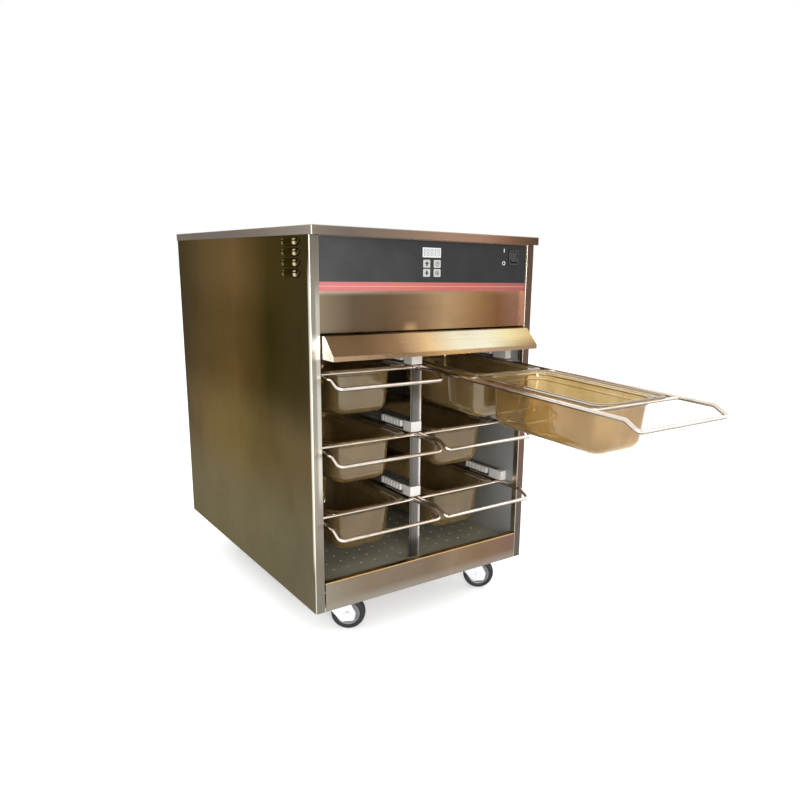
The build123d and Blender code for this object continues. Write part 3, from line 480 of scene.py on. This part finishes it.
def paint_cad():
    """Materials of the CAD nodes that stay as they are."""
    left_stile = ((116, 115, 106), (120, 113, 102), (133, 126, 117), (138, 133, 123), (134, 131, 123),
                  (140, 136, 126), (140, 134, 122), (116, 110, 100))
    right_stile = ((98, 92, 84), (96, 84, 78), (104, 82, 72), (96, 77, 68), (88, 72, 62), (75, 59, 52))
    assign(steel("left_skin_steel", skin_tint(-1, side_tint, left_stile), 2, edge=(222, 217, 204),
                 fold_highlight_share=0.75, fold_highlight_mask=flat_skin(-1)), "left_side_panel")
    # Right skin in painted reflections along its length, darker towards the rear.
    right_side = run("Y", front_y, back_y, (96, 78, 64), (112, 92, 72), (122, 104, 84), (104, 88, 66),
                     (70, 56, 40))
    assign(steel("right_skin_steel", skin_tint(1, right_side, right_stile, False), 2, edge=(214, 206, 196),
                 fold_highlight_share=0.7, fold_highlight_mask=flat_skin(1)), "right_side_panel")
    assign(steel("fascia_steel", fascia_tint, 0, edge=(196, 168, 130), fold_highlight_share=0.6), "fascia_panel")
    assign(steel("panel_steel", run("X", -inner_x, inner_x, (150, 140, 128), (150, 120, 92)), 0),
           "control_panel")
    assign(steel("back_steel", run("Z", base_z, roof_z, (112, 104, 88), (128, 116, 96), (140, 128, 108)),
                 2), "back_panel")
    assign(steel("cover_steel", cover_tint, 0, edge=(226, 220, 208), fold_highlight_share=0.5,
                 Specular_Tint=(0.68, 0.66, 0.64, 1)), "top_cover")
    assign(steel("base_steel", plain_tint(112, 108, 98), 0, rough=0.42), "base_pan")
    assign(steel("rail_steel", rail_tint, 0, edge=(226, 186, 122), fold_highlight_share=0.8), "front_bottom_rail")
    assign(steel("hood_steel", hood_tint, 0, rough=0.24, wear=0.3, Specular_Tint=(1, 1, 1, 1)), "air_hood")
    # Chamber liners and floor in painted shade: darker higher up on the left liner and baffle, darker towards the
    # back on the right liner and floor.
    inside = {"Metallic": 0.35, "Specular_IOR_Level": 0.5}
    assign(steel("left_liner_steel",
                 run("Z", chamber_low, roof_z, (112, 108, 92), (96, 88, 66), (84, 74, 50)), 1, rough=0.36,
                 **inside), "left_liner")
    assign(steel("baffle_steel", run("Z", chamber_low, roof_z, (118, 108, 84), (108, 92, 64), (92, 78, 50)),
                 2, rough=0.40, **inside), "rear_baffle", "interior_ceiling")
    assign(steel("right_liner_steel",
                 run("Y", front_y, 0.12, (150, 152, 156), (150, 148, 142), (118, 104, 84), (96, 84, 62)), 1,
                 rough=0.36, **inside), "right_liner")
    assign(steel("floor_steel", run("Y", front_y, 0.1, (172, 168, 150), (160, 158, 140), (130, 124, 100)),
                 0, rough=0.36, edge=(226, 222, 210), fold_highlight_share=1.0, **inside), "interior_floor")
    # Divider post: painted shade on its left part, a painted highlight along its right edge.
    post_shade_and_highlight = run("X", -0.014, 0.014, (52, 49, 46), (92, 89, 86), (96, 94, 91), (104, 102, 99),
                    (232, 228, 222), wander=0.0)
    assign(steel("post_steel", post_shade_and_highlight, 2, rough=0.24, edge=(120, 117, 112), Metallic=0.7),
           "divider_posts")
    assign(steel("rails_steel", plain_tint(120, 118, 115), 1, rough=0.26, edge=(226, 224, 220),
                 Metallic=0.6), "centre_rails", "wall_rails")
    assign(overlay_film("overlay_film"), "control_overlay")
    simple = {
        "display_window": ("display_glass", srgb(150, 154, 154), 0.15, 0.0),
        "switch_bezel": ("bezel_plastic", srgb(8, 8, 8), 0.30, 0.0),
        "power_rocker": ("rocker_plastic", srgb(4, 4, 4), 0.30, 0.0),
        "control_board": ("board_resin", srgb(20, 80, 40), 0.4, 0.0),
        "insulation_panels": ("insulation_wool", srgb(200, 180, 110), 0.95, 0.0),
        "guide_blocks": ("guide_nylon", srgb(200, 197, 192), 0.40, 0.0),
        "heating_element": ("heater_sheath", srgb(60, 54, 50), 0.5, 0.8),
        "blower_motor": ("motor_enamel", srgb(46, 50, 56), 0.4, 0.2),
        "fan_wheel": ("fan_aluminium", srgb(190, 192, 196), 0.3, 1.0),
        "temperature_probe": ("probe_steel", srgb(200, 200, 202), 0.2, 1.0),
        "panel_screws": ("screw_steel", srgb(196, 194, 190), 0.25, 1.0),
        "cord_gland": ("gland_nylon", srgb(24, 24, 24), 0.5, 0.0),
        "caster_plates": ("caster_zinc", srgb(206, 206, 208), 0.35, 0.8),
    }
    for node, (name, colour, rough, metal) in simple.items():
        assign(plain_finish(name, colour, rough, metal), node)
    keys = plain_finish("key_plastic", srgb(156, 156, 154), 0.35, 0.0)
    rods = rod_chrome()
    zinc = plain_finish("fork_zinc", srgb(226, 226, 232), 0.30, 0.6)
    for node in nodes:
        if node.startswith("key_"):
            assign(keys, node)
        elif node.startswith("carrier_"):
            assign(rods, node)
        elif node.startswith(("caster_fork", "caster_axle")):
            assign(zinc, node)


def assign(material, *names):
    """Give a CAD node one material all over."""
    for name in names:
        nodes[name].data.materials.clear()
        nodes[name].data.materials.append(material)


def plain_finish(name, colour, rough, metal):
    """Even material with fine mottling in its colour, roughness and surface."""
    paint = Paint(name, Metallic=metal)
    mottle = paint.noise(60.0, detail=6.0)
    broad = paint.noise(9.0, detail=3.0)
    darker = tuple(channel * 0.8 for channel in colour)
    tint = paint.mix(paint.remap(broad, 0.35, 0.65), (*colour, 1), (*darker, 1))
    paint.raise_by(mottle, 0.00012, 0.4)
    return paint.finish(tint, paint.remap(mottle, 0.3, 0.7, rough - 0.05, rough + 0.08))


# ---------------------------------------------------------------- mesh kit
def add_object(name, mesh, material, body, smooth=40, replaced=()):
    """Put a finished mesh in the scene as a piece of a body."""
    piece = bpy.data.objects.new(name, mesh)
    bpy.context.scene.collection.objects.link(piece)
    mesh.materials.append(material)
    mesh.polygons.foreach_set("use_smooth", [True] * len(mesh.polygons))
    mesh.set_sharp_from_angle(angle=math.radians(smooth))
    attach(piece, body)
    if replaced:
        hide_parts(*replaced)
    return piece


def mesh_from(build, name):
    """A mesh made by a function that fills a bmesh, with its faces turned outwards."""
    form = bmesh.new()
    build(form)
    bmesh.ops.recalc_face_normals(form, faces=form.faces)
    mesh = bpy.data.meshes.new(name)
    form.to_mesh(mesh)
    form.free()
    return mesh


def loft(form, rings, closed_ends=True, around=False):
    """Faces between rings of points that have the same count; around joins the last ring to the first."""
    made = [[form.verts.new(point) for point in ring] for ring in rings]
    pairs = list(zip(made, made[1:]))
    if around:
        pairs.append((made[-1], made[0]))
    for first, second in pairs:
        count = len(first)
        for index in range(count):
            following = (index + 1) % count
            form.faces.new((first[index], first[following], second[following], second[index]))
    if closed_ends and not around:
        form.faces.new(made[0])
        form.faces.new(made[-1])


def lathe(form, profile, place, axis, steps=64):
    """Turn a closed (radius, height) outline about an axis through a place."""
    axis = Vector(axis).normalized()
    side = axis.orthogonal().normalized()
    across = axis.cross(side)
    rings = []
    for radius, height in profile:
        centre = Vector(place) + axis * height
        rings.append([centre + (side * math.cos(turn) + across * math.sin(turn)) * radius
                      for turn in (2 * math.pi * step / steps for step in range(steps))])
    loft(form, rings, around=True)


def rounded_ring(half_x, half_y, radius, steps=8):
    """Points of a rounded rectangle about the origin."""
    points = []
    for sign_x, sign_y, start in ((1, 1, 0), (-1, 1, 90), (-1, -1, 180), (1, -1, 270)):
        for step in range(steps + 1):
            turn = math.radians(start + 90 * step / steps)
            points.append((sign_x * (half_x - radius) + radius * math.cos(turn),
                           sign_y * (half_y - radius) + radius * math.sin(turn)))
    return points


# ---------------------------------------------------------------- food pans
pan_length = 0.325
pan_deep = 0.100
pan_wall = 0.0024
rim_thick = 0.0025
side_ledge = 0.025
end_ledge = 0.013
pan_taper = math.tan(math.radians(3))
inner_bed_radius = 0.024
outer_bed_radius = 0.026
floor_dish = 0.0003


def amber_plastic():
    """Amber polycarbonate gone hazy with use: scuffs, oily smears and upright streaks."""
    paint = Paint("amber_plastic", Transmission_Weight=0.87, IOR=1.5)
    smear = paint.noise(14.0, detail=4.0)
    fine = paint.noise(160.0, detail=3.0)
    streak = paint.noise(1.0, detail=3.0, place=paint.stretched((60.0, 24.0, 3.0)))
    tint = paint.mix(paint.remap(smear, 0.35, 0.7), (0.58, 0.41, 0.18, 1), (0.41, 0.28, 0.10, 1))
    tint = paint.mix(paint.remap(streak, 0.48, 0.72, 0.0, 0.55), tint, (0.62, 0.50, 0.29, 1))
    paint.raise_by(paint.noise(9.0, detail=1.0), 0.0012, 0.15)
    rough = paint.maths("ADD", paint.remap(smear, 0.4, 0.75, 0.02, 0.06),
                        paint.remap(fine, 0.55, 0.8, 0.0, 0.03))
    return paint.finish(tint, rough)


def pan_profile():
    """(share of the ledge crossed, reach past it, height, corner) down the inside, then the outside."""
    inside = [
        (0.00, 0.0, -0.0012, 0.022), (0.03, 0.0, -0.0002, 0.022), (0.12, 0.0, 0.0000, 0.022),
        (0.18, 0.0, -0.0008, 0.022), (0.44, 0.0, -0.0008, 0.023), (0.49, 0.0, -0.0016, 0.024),
        (0.58, 0.0, -0.0016, 0.025), (0.63, 0.0, -0.0008, 0.026), (0.88, 0.0, -0.0008, 0.028),
        (0.96, 0.0, -0.0012, 0.029), (1.0, pan_wall, -0.0040, 0.0275),
        (1.0, pan_wall + 0.0006, -0.0125, 0.0275), (1.0, pan_wall + 0.0032, -0.0150, 0.026),
    ]
    outside = [
        (0.00, 0.0, -0.0020, 0.022), (0.04, 0.0, -rim_thick, 0.022), (0.94, 0.0, -rim_thick, 0.029),
        (1.0, 0.0, -0.0050, 0.030), (1.0, 0.0006, -0.0140, 0.030), (1.0, 0.0032, -0.0170, 0.029),
    ]
    return inside, outside


def pan_wall_rings(start, floor, bed_radius, dish):
    """Rings down a tapered wall and round the bottom fillet to a floor dished in its middle."""
    _, start_reach, start_height, start_corner = start
    rings = []
    straight_end = floor + bed_radius
    for share in (0.33, 0.66, 1.0):
        height = start_height + (straight_end - start_height) * share
        rings.append((1.0, start_reach + (start_height - height) * pan_taper, height,
                      start_corner + 0.002 * share))
    _, foot_reach, _, foot_corner = rings[-1]
    for step in range(1, 7):
        turn = math.radians(90 * step / 6)
        reach = bed_radius * (1 - math.cos(turn))
        height = straight_end - bed_radius * math.sin(turn)
        rings.append((1.0, foot_reach + reach, height, max(foot_corner - reach * 0.75, 0.005)))
    rings.append((1.0, foot_reach + bed_radius + 0.012, floor - dish, 0.004))
    return rings


def add_pan(name, node, start_y, across, inward, upward, material, low_x, high_x, top):
    """One deep pan: a thin shell with a grooved rim, a stacking step and a rounded bed."""
    half_x = (high_x - low_x) / 2
    half_y = pan_length / 2
    centre = across * ((low_x + high_x) / 2) + inward * (start_y + half_y) + upward * top
    inside, outside = pan_profile()
    inner = inside + pan_wall_rings(inside[-1], -pan_deep + pan_wall, inner_bed_radius, floor_dish)
    outer = outside + pan_wall_rings(outside[-1], -pan_deep, outer_bed_radius, 0.0)
    order = list(reversed(outer)) + inner

    def build(form):
        rings = []
        for share, reach, height, corner in order:
            ring = rounded_ring(half_x - share * side_ledge - reach, half_y - share * end_ledge - reach,
                                corner)
            rings.append([centre + across * x + inward * y + upward * height for x, y in ring])
        loft(form, rings)
    return add_object(name, mesh_from(build, name), material, body_of[node], 35)


def span_along(node, direction):
    """Lowest and highest reach of a CAD node along a direction."""
    reach = [vertex.co.dot(direction) for vertex in nodes[node].data.vertices]
    return min(reach), max(reach)


def add_pans():
    plastic = amber_plastic()
    across = Vector((1, 0, 0))
    for node in sorted(nodes):
        if not node.startswith("pan_") and not node.startswith("pans_"):
            continue
        side, row = node.split("_")[1:3]
        slide = Vector(joint_of[f"{side}_{row}_carrier"]["axis"])
        inward = -slide.normalized()
        upward = across.cross(inward)
        low_x, high_x = span_along(node, across)
        low_y, high_y = span_along(node, inward)
        top = span_along(node, upward)[1]
        one_pan = high_y - low_y < 1.5 * pan_length
        starts = {"": low_y} if one_pan else {"_front": low_y, "_rear": high_y - pan_length}
        for place, start in starts.items():
            piece = add_pan(f"amber_{node}{place}", node, start, across, inward, upward, plastic, low_x,
                            high_x, top)
            if place != "_rear":
                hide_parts(node)


# ---------------------------------------------------------------- caster wheels
def add_wheels():
    """Rubber tyre and stepped hub on each wheel."""
    rubber = plain_finish("tyre_rubber", srgb(9, 9, 10), 0.62, 0.0)
    hub_plastic = plain_finish("hub_plastic", srgb(120, 122, 124), 0.4, 0.0)
    for spot in ("front_left", "front_right", "rear_left", "rear_right"):
        body = f"{spot}_wheel"
        joint = joint_of[body]
        place = Vector(joint["pos_m"])
        axis = Vector(joint["axis"])
        radius, half = 0.038, 0.012
        tyre = [
            (radius - 0.012, -half + 0.0015), (radius - 0.008, -half), (radius - 0.0035, -half + 0.0006),
            (radius - 0.0012, -half + 0.0034), (radius - 0.0002, -half + 0.0075), (radius, 0.0),
            (radius - 0.0002, half - 0.0075), (radius - 0.0012, half - 0.0034),
            (radius - 0.0035, half - 0.0006), (radius - 0.008, half), (radius - 0.012, half - 0.0015),
            (radius - 0.0125, 0.0)]
        hub = [
            (0.0041, -half - 0.0019), (0.0095, -half - 0.0019), (0.0110, -half - 0.0008),
            (0.0112, -half + 0.0040), (0.0130, -half + 0.0052), (0.0215, -half + 0.0052),
            (0.0235, -half + 0.0020), (0.0262, -half + 0.0012), (0.0262, half - 0.0012),
            (0.0235, half - 0.0020), (0.0215, half - 0.0052), (0.0130, half - 0.0052),
            (0.0112, half - 0.0040), (0.0110, half + 0.0008), (0.0095, half + 0.0019),
            (0.0041, half + 0.0019)]
        tyre_mesh = mesh_from(lambda form: lathe(form, tyre, place, axis, 96), f"tyre_{spot}")
        add_object(f"tyre_{spot}", tyre_mesh, rubber, body, 50, (f"caster_wheel_{spot}",))
        hub_mesh = mesh_from(lambda form: lathe(form, hub, place, axis, 64), f"hub_{spot}")
        add_object(f"hub_{spot}", hub_mesh, hub_plastic, body, 35)


# ---------------------------------------------------------------- marks on the control panel
mark_proud = 0.0002
mark_sunk = 0.0002


def flat_shape(form, points, front, thickness):
    """A thin plate whose outline is given as (x, z) points, standing proud of a face that looks along -Y."""
    loft(form, [[(x, front - depth, z) for x, z in points] for depth in (-mark_sunk, thickness)])


def ring_points(x, z, radius, steps=24):
    return [(x + radius * math.cos(2 * math.pi * step / steps),
             z + radius * math.sin(2 * math.pi * step / steps))
            for step in range(steps)]


def flat_ring(form, x, z, radius, width, front, thickness):
    """A thin ring standing proud of a face that looks along -Y."""
    outer, inner = ring_points(x, z, radius), ring_points(x, z, radius - width)
    rings = [[(px, front + mark_sunk, pz) for px, pz in outer],
             [(px, front - thickness, pz) for px, pz in outer],
             [(px, front - thickness, pz) for px, pz in inner],
             [(px, front + mark_sunk, pz) for px, pz in inner]]
    loft(form, rings, around=True)


def add_key_marks(dark):
    """Arrows on two keys, a clock and a dot in a ring on the others."""
    proud = mark_proud
    for key, way in (("key_up", 1), ("key_down", -1)):
        low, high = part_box(key)
        x, z = (low.x + high.x) / 2, (low.z + high.z) / 2
        outline = [(x, z + 0.0048 * way), (x + 0.0050, z - 0.0004 * way), (x + 0.0019, z - 0.0004 * way),
                   (x + 0.0019, z - 0.0046 * way), (x - 0.0019, z - 0.0046 * way),
                   (x - 0.0019, z - 0.0004 * way), (x - 0.0050, z - 0.0004 * way)]
        mesh = mesh_from(lambda form: flat_shape(form, outline, low.y, proud), f"mark_{key}")
        add_object(f"mark_{key}", mesh, dark, body_of[key], 30)
    for key in ("key_time", "key_set"):
        low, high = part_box(key)
        x, z = (low.x + high.x) / 2, (low.z + high.z) / 2

        def build(form):
            flat_ring(form, x, z, 0.0048, 0.0011, low.y, proud)
            if key == "key_time":
                flat_shape(form,
                           [(x - 0.0005, z), (x + 0.0005, z), (x + 0.0005, z + 0.0030),
                            (x - 0.0005, z + 0.0030)], low.y, proud)
                flat_shape(form,
                           [(x, z - 0.0005), (x + 0.0026, z - 0.0005), (x + 0.0026, z + 0.0005),
                            (x, z + 0.0005)], low.y, proud * 1.1)
            else:
                flat_shape(form, ring_points(x, z, 0.0019), low.y, proud)
        add_object(f"mark_{key}", mesh_from(build, f"mark_{key}"), dark, body_of[key], 30)


def add_display_marks(pale):
    """Frame of the display and its unlit segments."""
    proud = mark_proud
    low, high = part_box("display_window")
    lit = plain_finish("segment_grey", srgb(206, 210, 208), 0.4, 0.0)

    def build_frame(form):
        border = [(low.x, low.z), (high.x, low.z), (high.x, high.z), (low.x, high.z)]
        inset = [(low.x + 0.0022, low.z + 0.0022), (high.x - 0.0022, low.z + 0.0022),
                 (high.x - 0.0022, high.z - 0.0022), (low.x + 0.0022, high.z - 0.0022)]
        rings = [[(px, low.y + mark_sunk, pz) for px, pz in border],
                 [(px, low.y - proud, pz) for px, pz in border],
                 [(px, low.y - proud, pz) for px, pz in inset],
                 [(px, low.y + mark_sunk, pz) for px, pz in inset]]
        loft(form, rings, around=True)
    add_object("display_frame", mesh_from(build_frame, "display_frame"), pale, body_of["display_window"],
               30)

    def build_digits(form):
        wide, tall, bar = 0.0058, 0.0108, 0.0011
        middle = (low.z + high.z) / 2
        for place in range(4):
            x = low.x + 0.0058 + place * (high.x - low.x - 0.0174) / 3
            for z in (middle - tall / 2, middle, middle + tall / 2):
                flat_shape(form,
                           [(x + bar, z - bar / 2), (x + wide - bar, z - bar / 2),
                            (x + wide - bar, z + bar / 2), (x + bar, z + bar / 2)], low.y, proud * 0.6)
            for px in (x, x + wide - bar):
                for foot in (middle - tall / 2 + bar, middle + bar):
                    head = foot + tall / 2 - 2 * bar
                    flat_shape(form, [(px, foot), (px + bar, foot), (px + bar, head), (px, head)], low.y,
                               proud * 0.6)
    add_object("display_segments", mesh_from(build_digits, "display_segments"), lit,
               body_of["display_window"], 30)


def add_switch_marks(pale):
    """Line and ring beside the power switch."""
    proud = mark_proud
    bezel_low, bezel_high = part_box("switch_bezel")
    x = bezel_low.x - 0.0145

    def build_switch_marks(form):
        line_z, ring_z = bezel_high.z - 0.002, bezel_low.z + 0.003
        flat_shape(form,
                   [(x - 0.0009, line_z - 0.0040), (x + 0.0009, line_z - 0.0040),
                    (x + 0.0009, line_z + 0.0040), (x - 0.0009, line_z + 0.0040)], overlay_low.y, proud)
        flat_ring(form, x, ring_z, 0.0042, 0.0013, overlay_low.y, proud)
    add_object("switch_marks", mesh_from(build_switch_marks, "switch_marks"), pale,
               body_of["control_overlay"], 30)


def add_marks():
    """Signs on the keys, the display and the panel."""
    dark = plain_finish("mark_dark", srgb(20, 20, 21), 0.4, 0.0)
    pale = plain_finish("mark_pale", srgb(196, 196, 194), 0.5, 0.0)
    add_key_marks(dark)
    add_display_marks(pale)
    add_switch_marks(pale)


# ---------------------------------------------------------------- pressed louvers
def add_louvers():
    """Rounded oval louvers over the four slots high on each side skin."""
    # Louver steel in painted shade with painted highlights.
    shaded_louver_steel = steel("louver_steel", louver_tint, 1, rough=0.22)
    first_z, pitch, half_tall, rise = base_z + 0.7294, 0.0193, 0.0081, 0.0049
    middle_y, half_long = (louver_low_y + louver_high_y) / 2, (louver_high_y - louver_low_y) / 2
    for side, node in ((-1, "left_side_panel"), (1, "right_side_panel")):
        for rank in range(4):
            middle_z = first_z - rank * pitch

            def build(form):
                rings = []
                for step in range(9):
                    turn = math.radians(86 * step / 8)
                    inset = half_tall * (1 - math.cos(turn) ** 0.8)
                    outline = rounded_ring(half_long - inset, half_tall - inset,
                                           half_tall - inset - 0.00001, 10)
                    x = side * (skin_x - 0.0002 + rise * math.sin(turn))
                    rings.append([(x, middle_y + y, middle_z + z) for y, z in outline])
                loft(form, rings)
            name = f"louver_{node.split('_')[0]}_{rank + 1}"
            add_object(name, mesh_from(build, name), shaded_louver_steel, body_of[node], 60)


# ---------------------------------------------------------------- slide pads behind the guide caps
def add_slide_pads():
    """Ribbed pads along the upper part of the slide rails, behind the guide caps."""
    nylon = plain_finish("pad_nylon", srgb(214, 210, 204), 0.42, 0.0)
    rib, gap, low_rise, high_rise = 0.0075, 0.0045, 0.0100, 0.0235
    rod_radius = 0.003
    rail_x = {"left": (-0.2495, -0.2385), "centre_left": (-0.0155, -0.0045),
              "centre_right": (0.0045, 0.0155), "right": (0.2385, 0.2495)}
    for row in ("top", "middle", "bottom"):
        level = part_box(f"carrier_left_{row}")[1].z - rod_radius
        for place, (low_x, high_x) in rail_x.items():
            def build(form):
                for rank in range(7):
                    start = front_y + 0.096 + rank * (rib + gap)
                    loft(form, [[(x, start + depth, level + rise) for x, rise in (
                        (low_x, low_rise), (high_x, low_rise), (high_x, high_rise), (low_x, high_rise))]
                        for depth in (0.0, rib)])
            name = f"pads_{place}_{row}"
            add_object(name, mesh_from(build, name), nylon, body_of["guide_blocks"], 30)


add_camera()
add_stage()
paint_cad()
add_pans()
add_wheels()
add_marks()
add_slide_pads()
add_louvers()
